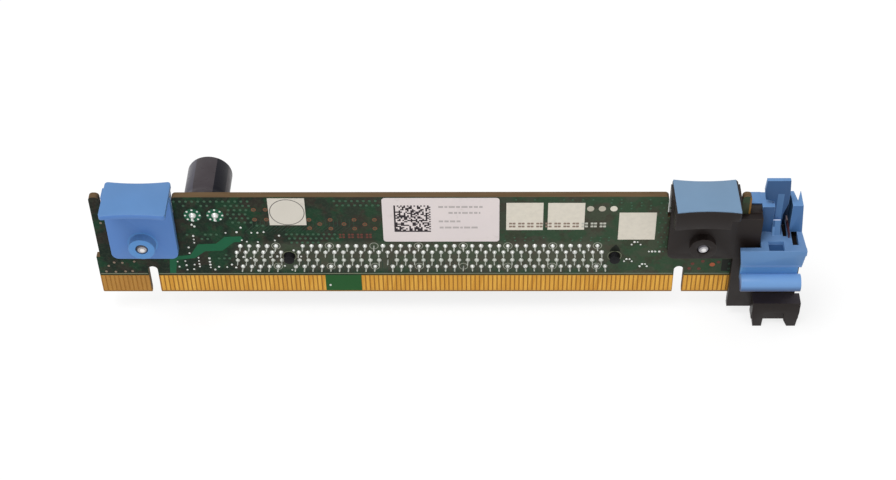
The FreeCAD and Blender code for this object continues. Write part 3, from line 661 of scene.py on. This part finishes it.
def rounded(node, name, material, width):
    """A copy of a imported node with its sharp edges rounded, shown in the node's place."""
    weld, coplanar, sharp_from = 2e-6, math.radians(1.0), math.radians(25)
    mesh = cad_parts[node].data.copy()
    mesh.name = name
    obj = linked(name, mesh)
    bm = bmesh.new()
    bm.from_mesh(mesh)
    bmesh.ops.remove_doubles(bm, verts=bm.verts, dist=weld)
    bmesh.ops.dissolve_limit(bm, angle_limit=coplanar, verts=bm.verts, edges=bm.edges)
    sharp = [e for e in bm.edges
             if len(e.link_faces) == 2 and e.calc_face_angle(0) > sharp_from]
    bmesh.ops.bevel(bm, geom=sharp, offset=width * MM, offset_type="OFFSET", segments=2,
                    profile=0.5, affect="EDGES", clamp_overlap=True)
    bmesh.ops.recalc_face_normals(bm, faces=bm.faces)
    bm.to_mesh(mesh)
    bm.free()
    paint(mesh, material)
    smooth_by_angle(obj, MOULDING_CREASE)
    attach(obj, BODY)
    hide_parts(node)


for packed, look in (
        ("pcb", "board"), ("fingers_front", "gold"), ("fingers_back", "gold"),
        ("slot_contacts", "contact"), ("capacitor_bung", "rubber"),
        ("capacitor_leads", "wire"), ("latch_spring", "spring"), ("large_label", "label"),
        ("small_label", "sticker"), ("chip_leads", "wire"), ("resistors", "resistor"),
        ("ceramic_capacitors", "ceramic")):
    paint(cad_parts[packed].data, MAT[look])
rounded("left_grip", "left_grip_moulding", MAT["grip"], 0.25)
rounded("guide_bracket", "guide_bracket_moulding", MAT["black"], 0.25)
rounded("latch", "latch_moulding", MAT["latch"], 0.18)
rounded("left_rivet", "left_rivet_head", rivet_material("left_rivet"), 0.1)
rounded("right_rivet", "right_rivet_head", rivet_material("right_rivet"), 0.1)
rounded("slot_housing", "slot_housing_moulding", MAT["slot"], 0.12)
rounded("chip_bodies", "chip_body_mouldings", MAT["chip"], 0.12)


# ---------------------------------------------------------------- cap of the right grip
def waisted_cap(waist=0.6, corner=0.3, steps=24):
    """A plate whose front and back sides curve in, with its upper edge eased."""
    low, high = span("right_grip_cap")
    centre, half = (low.x + high.x) / 2, (high.x - low.x) / 2

    def outline(inset):
        x0, x1 = low.x + inset, high.x - inset
        front = (low.y + inset, 1, x1 - corner, range(steps + 1))
        back = (high.y - inset, -1, x0 + corner, range(steps, -1, -1))
        points = []
        for y, inward, corner_x, along in (front, back):
            for k in along:
                x = x0 + corner + (x1 - x0 - 2 * corner) * k / steps
                points.append((x, y + inward * waist * (1 - ((x - centre) / half) ** 2)))
            for k in range(1, 6):
                a = math.radians(15 * k - 90 * inward)
                points.append((corner_x + corner * math.cos(a),
                               y + inward * corner + corner * math.sin(a)))
        return points

    levels = ((low.z, 0.0), (high.z - 0.1, 0.0), (high.z - 0.03, 0.04), (high.z, 0.12))
    pile = Pile()
    pile.stack([[(x, y, z) for x, y in outline(inset)] for z, inset in levels])
    pile.make("right_grip_cap_moulding", MAT["cap"], "cap_blue", True, ["right_grip_cap"])


waisted_cap()


# ---------------------------------------------------------------- solder joints
# (row, contact number) of places without a dome, and of those that show a bare pin
SKIPPED = {(0, 12), (0, 82), (0, 30), (2, 19), (2, 33), (3, 32), (3, 50)}
TIP_ONLY = {(0, 30), (2, 33), (3, 50)}
DULL_ROW = 2                              # its domes are lower and its pins thinner
DOME_RADIUS, DOME_HEIGHT, DULL_HEIGHT = 0.54, 0.48, 0.36
PIN_RADIUS, THIN_PIN_RADIUS, PIN_REACH = 0.17, 0.13, 1.7


def slot_joints():
    """Reflowed domes over the slot's pins, each of its own size and lean."""
    bright, dull, tips = Pile(), Pile(), Pile()
    for number in range(1, CONTACTS + 1):
        for row in ((0, 3) if number % 2 == 0 else (1, 2)):
            x, z = contact_x(number), SLOT_Z + ROWS[row]
            reach = PIN_REACH + rng.uniform(-0.1, 0.0)
            lean = (rng.uniform(-0.05, 0.05), rng.uniform(-0.05, 0.05))
            if (row, number) in TIP_ONLY:
                tips.turned(x, z, [(THIN_PIN_RADIUS, FRONT),
                                   (THIN_PIN_RADIUS, FRONT - reach + 0.1),
                                   (0.08, FRONT - reach)], 8, lean)
            if (row, number) in SKIPPED:
                continue
            lower = row == DULL_ROW
            r = DOME_RADIUS + rng.uniform(-0.04, 0.03)
            h = (DULL_HEIGHT if lower else DOME_HEIGHT) + rng.uniform(-0.06, 0.06)
            (dull if lower else bright).turned(
                x, z, [(r, FRONT), (r * 0.97, FRONT - 0.06), (r * 0.82, FRONT - h * 0.5),
                       (r * 0.6, FRONT - h * 0.8), (0.24, FRONT - h), (0.17, FRONT - h - 0.1)], 14)
            pin = THIN_PIN_RADIUS if lower else PIN_RADIUS
            tips.turned(x, z, [(pin, FRONT - h * 0.7), (pin, FRONT - reach + 0.12),
                               (pin * 0.7, FRONT - reach)], 8, lean)
    joints = ["slot_solder_joints"]
    bright.make("slot_joint_domes", MAT["solder"], "solder", True, joints)
    dull.make("slot_joint_domes_dull", MAT["solder_dull"], "solder", True, joints)
    tips.make("slot_pin_tips", MAT["tip"], "solder", True, joints)


def capacitor_joints(half_pitch=2.5):
    """Two large domes, each on a masked relief with a ring of small solder dots."""
    centre, height = middle("capacitor_leads")
    leads = [(centre + side, height) for side in (-half_pitch, half_pitch)]
    pile = Pile()
    for x, z in leads:
        pile.turned(x, z, [(0.8, FRONT), (0.78, FRONT - 0.08), (0.68, FRONT - 0.35),
                           (0.5, FRONT - 0.58), (0.36, FRONT - 0.7), (0.3, FRONT - 0.85)], 20)
        pile.turned(x, z, [(0.29, FRONT - 0.5), (0.29, FRONT - 1.55), (0.2, FRONT - 1.7)], 12,
                    (-0.12, 0.0))
    pile.make("capacitor_joint_domes", MAT["solder"], "solder", True,
              ["capacitor_solder_joints"])
    discs("capacitor_relief", "relief", "board_mask", leads, 1.95, INK, 28)
    around = [(x + 1.62 * math.cos(a), z + 1.62 * math.sin(a))
              for x, z in leads for a in (math.pi * k / 4 for k in range(8))]
    discs("capacitor_relief_dots", "solder", "solder", around, 0.24, 0.07, 10)


slot_joints()
capacitor_joints()

# ---------------------------------------------------------------- print on the board
BLOCKS = ((19.56, 20.1, 27.69, 28.4), (28.7, 20.2, 36.8, 28.35), (44.4, 17.1, 52.6, 25.4))
DOTS = ((38.0, 26.6), (40.56, 26.6))
FULL_DOT = (43.1, 26.6)
DOT_RADIUS = 0.8
RING = (1.02, 0.86)                       # outer and inner radius
LINE_Z = (6.18, 6.42)                     # the thin line above the fingers
PEGS = ((-29.2, SLOT_Z), (43.95, SLOT_Z))


def silk_print():
    """Rings at every tenth joint and the pegs, a thin line, filled blocks and dots."""
    rings, faint, blocks = Pile(), Pile(), Pile()
    for row in (0, 3):
        for number in range(10, CONTACTS, 10):
            rings.annulus(contact_x(number), SLOT_Z + ROWS[row], *RING, INK)
    rings.make("silk_rings", MAT["silk_ring"], "board_mask")
    for x0, x1 in ((LEFT + 0.3, KEYS[0] - KEY_HALF), (KEYS[0] + KEY_HALF, KEYS[1] - KEY_HALF),
                   (KEYS[1] + KEY_HALF, RIGHT - 2.6)):
        faint.rect(x0, LINE_Z[0], x1, LINE_Z[1], INK)
    for x, z in PEGS:
        faint.annulus(x, z, 1.6, 1.45, TRACK)
    faint.make("silk_faint_print", MAT["silk_faint"], "board_mask")
    for block in BLOCKS:
        blocks.rect(*block, INK)
    blocks.make("silk_print", MAT["silk"], "board_mask")
    discs("silk_dots", "silk_dot", "board_mask", DOTS, DOT_RADIUS, COPPER, 20)
    discs("silk_dot_full", "silk", "board_mask", [FULL_DOT], DOT_RADIUS, COPPER, 20)


def power_trace():
    """The wide bright trace that steps up along the left end."""
    pile = Pile()
    pile.slab([(-56.9, 6.5), (-55.5, 6.5), (-54.8, 10.8), (-50.7, 11.3), (-48.1, 13.5),
               (-44.2, 13.7), (-41.3, 16.4), (-39.9, 16.4), (-39.2, 17.3), (-39.7, 18.2),
               (-43.3, 18.0), (-45.4, 15.9), (-49.5, 15.7), (-51.6, 12.3), (-54.3, 12.0),
               (-56.4, 11.4)], FRONT, FRONT - COPPER)
    pile.make("power_trace", MAT["trace"], "board_mask")


def signal_tracks():
    """Tracks from the slot's lower joints to the fingers, and a slanted bunch above."""
    foot, wide = 6.5, 0.12
    pile = Pile()
    for number in range(1, CONTACTS + 1):
        x, z = contact_x(number), SLOT_Z + ROWS[3 if number % 2 == 0 else 2]
        pile.rect(x + 0.62, foot, x + 0.62 + wide, z - 0.2, TRACK)
    for k in range(26):
        x = -38.5 + k * 0.9
        pile.slab([(x, 19.6), (x + 0.14, 19.6), (x + 1.9, 21.4), (x + 1.9, 23.4),
                   (x + 1.76, 23.4), (x + 1.76, 21.46)], FRONT, FRONT - TRACK)
    pile.make("signal_tracks", MAT["track"], "board_mask")


silk_print()
power_trace()
signal_tracks()

# ---------------------------------------------------------------- vias and pads
TINNED = shifted(
    (-9.25, 18.3), (-9.25, 17.25), (-9.25, 16.2), (-10.7, 14.7), (-10.7, 12.9), (-8.85, 11.4),
    (-8.85, 10.4), (-8.85, 9.4), (-8.85, 8.6), (-6.4, 11.2), (-6.4, 10.1), (-6.4, 9.2),
    (-6.4, 8.3), (-13.75, 10.2), (-11.95, 10.35), (-13.5, 8.55), (-11.85, 9.0), (-10, 9.2),
    (-11.8, 7.55), (-10.25, 7.75), (-5.45, 7.6), (-4.5, 8.5), (-9.2, 21.8), (-8.65, 21.3),
    (1.6, 20.9), (-1.9, 19.3), (0.56, 19.5), (3.85, 19.3), (5.2, 19.3), (6.6, 19.5),
    (9.95, 18.4), (1.5, 17), (2.6, 16.5), (5.05, 16.4), (8.9, 16.9), (1.4, 11.6), (3, 11.25),
    (5.56, 11.8), (7.4, 11.6), (9.05, 11.8), (14.4, 11.8), (-2.65, 8.4), (-1.5, 9.2),
    (-0.6, 8.25), (4.4, 7.25), (12.1, 7.5), (10.5, 8.8), (12.85, 13.7), (20.5, 2.5),
    (89.2, 16.3), (89.9, 16.3), (88.6, 15.5), (90.6, 15.5), (92.6, 13.3), (93.3, 13.3),
    (94, 13.3), (94.9, 13.3), (87.2, 10.2), (87.7, 10.9), (88.4, 10.9), (88.9, 10.2),
    (90.8, 8.6), (91.3, 9.3), (92, 9.3), (92.4, 8.6))
DULL = shifted((-29.6, 8.8), (-28.2, 9.9), (-26.35, 9.8), (-30.4, 7), (-28.25, 6.9), (-26, 7),
               (-24.4, 7.1), (-23.6, 10.2), (-29.4, 22.4))
# first x from contact one, z, count and pitch of each row of masked vias
MASKED_ROWS = (
    (-12.4, 28.9, 13, 1.35), (-10.4, 27.6, 1, 1.3), (-6.5, 27.6, 2, 1.3), (-1.2, 27.6, 5, 1.3),
    (-0.6, 26.3, 4, 1.3), (-0.9, 25.0, 4, 1.3), (-0.4, 23.8, 4, 1.3), (0.0, 22.5, 4, 1.35),
    (5.3, 21.5, 4, 1.3), (-10.6, 18.7, 1, 1.3), (-6.5, 18.75, 3, 1.25), (-7.4, 17.4, 2, 1.3),
    (-4.2, 11.2, 3, 1.2), (-2.5, 12.3, 1, 1.2), (11.6, 18.8, 10, 1.2), (12.2, 17.5, 10, 1.2),
    (12.6, 16.2, 6, 1.2), (22.8, 29.0, 9, 1.3), (23.4, 27.7, 9, 1.3))
TEST_PADS = shifted(
    (4.95, 26.4), (7.56, 26.4), (4.95, 23.4), (7.56, 23.4), (14.7, 22.15), (16.97, 23.3),
    (16.97, 20.75), (19.3, 22.0), (21.67, 23.3), (21.67, 20.6), (24.67, 22.0), (26.97, 23.3),
    (26.97, 20.6), (29.28, 21.9), (31.46, 23.3), (31.46, 20.6))
KEY_PAD = shifted((107.1, 9.15))
FADED = ((61.65, 9.4), (63.2, 7.8), (61.0, 7.9), (67.45, 9.9), (63.9, 10.2))
VIA_MASKED, VIA_SMALL = 0.32, 0.22        # radii under the mask
CLEAR, APART = 0.5, 0.75                  # least distance from print and between vias


def tinned_vias():
    """Small domes of solder over open vias."""
    pile = Pile()
    for x, z in TINNED:
        size = 0.25 + rng.uniform(-0.05, 0.05)
        pile.turned(x, z, [(size, FRONT), (size * 0.9, FRONT - 0.05),
                           (size * 0.4, FRONT - 0.09)], 10)
    pile.make("tinned_vias", MAT["solder"], "solder", True)


def masked_vias():
    """Vias under the mask, where nothing is printed and no other via stands."""
    places = [(CONTACT_ONE + x + i * pitch, z, VIA_MASKED)
              for x, z, count, pitch in MASKED_ROWS for i in range(count)]
    for i in range(16):
        for j in range(6):
            if rng.random() < 0.5:
                places.append((CONTACT_ONE + 60.5 + i * 2.1 + rng.uniform(-0.2, 0.2),
                               29.3 - j * 0.9 - (8 if j > 3 else 0), VIA_SMALL))
    places += [(CONTACT_ONE + 94.4 + (i + 0.5 * (j % 2)) * 1.3, 28.3 - j * 1.5, VIA_SMALL)
               for i in range(6) for j in range(11)]
    taken = list(BLOCKS) + [(37.0, 25.6, 44.2, 27.6)]        # the last holds the dots
    for node in ("large_label", "small_label"):
        low, high = span(node)
        taken.append((low.x, low.z, high.x, high.z))
    pile, placed = Pile(), []
    for x, z, radius in places:
        free = not any(x0 - CLEAR < x < x1 + CLEAR and z0 - CLEAR < z < z1 + CLEAR
                       for x0, z0, x1, z1 in taken)
        if free and all(math.hypot(x - a, z - b) > APART for a, b in placed):
            placed.append((x, z))
            pile.disc(x, z, radius, INK, 10)
    pile.make("masked_vias", MAT["via_masked"], "board_mask")


def pads():
    """Round test pads, the pad beside the key and a few faded ones."""
    rims = Pile()
    for x, z in TEST_PADS:
        rims.annulus(x, z, 0.51, 0.37, COPPER, 18)
    rims.make("test_pad_rims", MAT["copper"], "gold")
    discs("test_pad_cores", "copper_dull", "board_mask", TEST_PADS, 0.36, INK, 14)
    discs("key_pad", "copper_bare", "gold", KEY_PAD, 0.62, COPPER, 18)
    discs("faded_pads", "copper_red", "board_mask", FADED, 0.42, INK, 12)


def two_by_two(pile, x, heights, half_wide, half_high, thick, radius):
    """Four small rounded pads, two beside each other at two heights."""
    for at in (x - 0.38, x + 0.38):
        for z in heights:
            pile.rect(at - half_wide, z - half_high, at + half_wide, z + half_high, thick, radius)


def grouped_vias():
    """Groups of four vias: red ones by the test pads, others across the print."""
    red, on_print, bare = Pile(), Pile(), Pile()
    for i in range(4):
        two_by_two(red, CONTACT_ONE + 24 + 2 * i, (17.9, 18.7), 0.27, 0.27, COPPER, 0.14)
    red.make("red_vias", MAT["copper_red"], "board_mask")
    for i in range(11):
        x = 20.9 + i * 2.0
        pile = on_print if any(block[0] < x < block[2] for block in BLOCKS) else bare
        two_by_two(pile, x, (21.2, 22.1), 0.32, 0.26, 0.04, 0.12)
    on_print.make("via_pairs_on_print", MAT["via_dark"], "board_mask")
    bare.make("via_pairs_bare", MAT["via_bare"], "board_mask")


def painted_shadow_patches():
    """Two dark patches near the right end, both painted shadow: one between the right grip and the
    bracket, one above the right peg; two masked pads sit on the first.
    """
    pile = Pile()
    pile.rect(68.2, 7.1, 70.9, 10.8, INK)
    pile.slab([(42.8, 13.4), (45.2, 13.4), (44.8, 14.6), (44.1, 15.5), (43.3, 14.6)],
              FRONT, FRONT - INK)
    pile.make("painted_shadow_patch", MAT["dark"], "board_mask")
    discs("patch_pads", "track", "board_mask", ((69.9, 9.45), (69.9, 7.8)), 0.35, 0.05, 10)


tinned_vias()
discs("dull_vias", "via_pink", "board_mask", DULL, 0.3, COPPER, 10)
masked_vias()
pads()
grouped_vias()
painted_shadow_patches()


# ---------------------------------------------------------------- labels
def label_pattern(cells=22, cell=0.3682):
    """A made-up square pattern where the photo has a data code."""
    low = span("large_label")[0]
    x0, z0, last = low.x + 2.55, low.z + 3.05, cells - 1
    pile = Pile()
    for i in range(cells):
        for j in range(cells):
            border = i == 0 or j == 0 or (i == last and j % 2 == 0) or (j == last and i % 2 == 0)
            if border or (0 < i < last and 0 < j < last and rng.random() < 0.5):
                pile.rect(x0 + i * cell, z0 + j * cell, x0 + (i + 1) * cell,
                          z0 + (j + 1) * cell, 0.012, y=low.y)
    pile.make("label_pattern", MAT["ink"], "label_white")


def label_bars():
    """Rows of plain bars where the photo has text."""
    low = span("large_label")[0]
    pile = Pile()
    for z, start, end in ((10.4, 12.4, 22.2), (8.6, 14.6, 21.6), (6.0, 12.4, 17.2),
                          (4.1, 12.6, 21.0)):
        x = low.x + start
        while x < low.x + end:
            width = rng.uniform(0.5, 1.5)
            pile.rect(x, low.z + z, min(x + width, low.x + end), low.z + z + 0.55, 0.01, y=low.y)
            x += width + 0.3
    pile.make("label_bars", MAT["ink_pale"], "label_white")


def sticker_ring():
    """The ring printed on the small sticker."""
    x, z = middle("small_label")
    pile = Pile()
    pile.annulus(x, z - 0.1, 3.9, 3.72, 0.012, 48, span("small_label")[0].y)
    pile.make("sticker_ring", MAT["pen"], "label_white")


label_pattern()
label_bars()
sticker_ring()


# ---------------------------------------------------------------- capacitor
def capacitor(sides=72):
    """The sleeve with its groove, the can's bare end and the cross scored in it."""
    low, high = span("capacitor_can")
    x, z = middle("capacitor_can")
    radius, foot, end = (high.x - low.x) / 2, low.y, high.y
    sleeve = [(4.2, foot), (4.62, foot + 0.1), (4.85, foot + 0.35), (4.93, foot + 0.8),
              (4.9, foot + 1.3), (4.84, foot + 1.7), (4.83, foot + 2.0), (4.86, foot + 2.3),
              (4.95, foot + 2.8), (radius, foot + 3.2), (radius, end - 0.35),
              (4.93, end - 0.12), (4.8, end - 0.02), (4.3, end), (4.05, end - 0.02),
              (4.02, end - 0.3)]
    bare_end = [(4.1, end - 0.3), (4.08, end - 0.16), (0.05, end - 0.15)]
    for name, profile, material, slot in (
            ("capacitor_sleeve_film", sleeve, sleeve_material(x, z), "capacitor_sleeve"),
            ("capacitor_end", bare_end, MAT["aluminium"], "tinned_wire")):
        pile = Pile()
        pile.turned(x, z, profile, sides)
        pile.make(name, material, slot, True, ["capacitor_can"])
    vent, reach, half_width = Pile(), 3.0, 0.12
    for a in (math.radians(45 + 90 * k) for k in range(4)):
        dx, dz = math.cos(a), math.sin(a)
        px, pz = -dz * half_width, dx * half_width
        vent.slab([(x + px, z + pz), (x - px, z - pz),
                   (x + reach * dx - px, z + reach * dz - pz),
                   (x + reach * dx + px, z + reach * dz + pz)], end - 0.15, end - 0.13)
    vent.make("capacitor_vent", MAT["pen"], "tinned_wire")


capacitor()


# ---------------------------------------------------------------- stage, light and camera
def make_stage(half=3.0, lit=0.8, shade=0.26, glow=0.78):
    """A white floor that looks brighter to the camera and in glossy reflections."""
    z = cad_box[0][2]
    mesh = bpy.data.meshes.new("floor")
    mesh.from_pydata([(-half, -half, z), (half, -half, z), (half, half, z), (-half, half, z)],
                     [], [(0, 1, 2, 3)])
    floor = linked("floor", mesh)
    n = Nodes("floor_white")
    floor.data.materials.append(n.mat)
    n.tree.nodes.remove(n.shader)
    out = [node for node in n.tree.nodes if node.type == "OUTPUT_MATERIAL"][0]
    path = n.add("ShaderNodeLightPath").outputs
    seen = n.math("MAXIMUM", path["Is Camera Ray"],
                  n.math("MAXIMUM", path["Is Glossy Ray"], path["Is Transmission Ray"]))
    plain, darker = n.add("ShaderNodeBsdfDiffuse"), n.add("ShaderNodeBsdfDiffuse")
    n.feed((lit, lit, lit, 1), plain.inputs["Color"])
    n.feed((shade, shade, shade, 1), darker.inputs["Color"])
    light = n.add("ShaderNodeEmission")
    n.feed((1, 1, 1, 1), light.inputs["Color"])
    n.feed(glow, light.inputs["Strength"])
    both = n.add("ShaderNodeAddShader")
    pick = n.add("ShaderNodeMixShader")
    for output, socket in ((darker.outputs[0], both.inputs[0]), (light.outputs[0], both.inputs[1]),
                           (seen, pick.inputs[0]), (plain.outputs[0], pick.inputs[1]),
                           (both.outputs[0], pick.inputs[2]),
                           (pick.outputs[0], out.inputs["Surface"])):
        n.feed(output, socket)


def make_world(lit=0.5, shown=1.0):
    """White surroundings, shown brighter than they light."""
    world = bpy.data.worlds.new("studio")
    bpy.context.scene.world = world
    world.use_nodes = True
    tree = world.node_tree
    back = tree.nodes["Background"]
    back.inputs["Color"].default_value = (1, 1, 1, 1)
    path = tree.nodes.new("ShaderNodeLightPath").outputs
    seen = path["Is Camera Ray"]
    for kind in ("Is Glossy Ray", "Is Transmission Ray"):
        either = tree.nodes.new("ShaderNodeMath")
        either.operation = "MAXIMUM"
        tree.links.new(seen, either.inputs[0])
        tree.links.new(path[kind], either.inputs[1])
        seen = either.outputs[0]
    mix = tree.nodes.new("ShaderNodeMix")
    tree.links.new(seen, mix.inputs[0])
    mix.inputs[2].default_value = lit
    mix.inputs[3].default_value = shown
    tree.links.new(mix.outputs[0], back.inputs["Strength"])


def area_light(name, place, size, power, target=(0, 0, 0.01)):
    """A rectangular light that faces its target, in metres and watts."""
    data = bpy.data.lights.new(name, "AREA")
    data.shape = "RECTANGLE"
    data.size, data.size_y = size
    data.energy = power
    light = linked(name, data)
    light.location = place
    light.rotation_mode = "QUATERNION"
    light.rotation_quaternion = (Vector(target) - Vector(place)).to_track_quat("-Z", "Y")


def make_camera(place, pitch, yaw, roll, lens):
    """The photo's camera: a place in millimetres, angles in degrees, a lens for 36 mm."""
    pitch, yaw, roll = (math.radians(v) for v in (pitch, yaw, roll))
    ahead = Vector((math.sin(yaw) * math.cos(pitch), math.cos(yaw) * math.cos(pitch),
                    -math.sin(pitch)))
    side = Vector((math.cos(yaw), -math.sin(yaw), 0))
    down = ahead.cross(side)
    right = math.cos(roll) * side + math.sin(roll) * down
    up = math.sin(roll) * side - math.cos(roll) * down
    data = bpy.data.cameras.new("camera")
    data.lens = lens
    data.sensor_width = 36
    data.clip_start, data.clip_end = 0.01, 20
    camera = linked("camera", data)
    turn = Matrix((right, up, -ahead)).transposed().to_4x4()
    camera.matrix_world = Matrix.Translation(Vector(place) * MM) @ turn
    bpy.context.scene.camera = camera


make_stage()
make_world()
area_light("key", place=(-0.25, -0.18, 0.86), size=(0.5, 0.4), power=4.3)
area_light("fill", place=(0.5, -0.5, 0.46), size=(0.5, 0.5), power=0.8)
make_camera(place=(14.79, -282.35, 296.40), pitch=44.77, yaw=-1.662, roll=1.216, lens=71.45)
bpy.context.scene.view_settings.view_transform = "Standard"
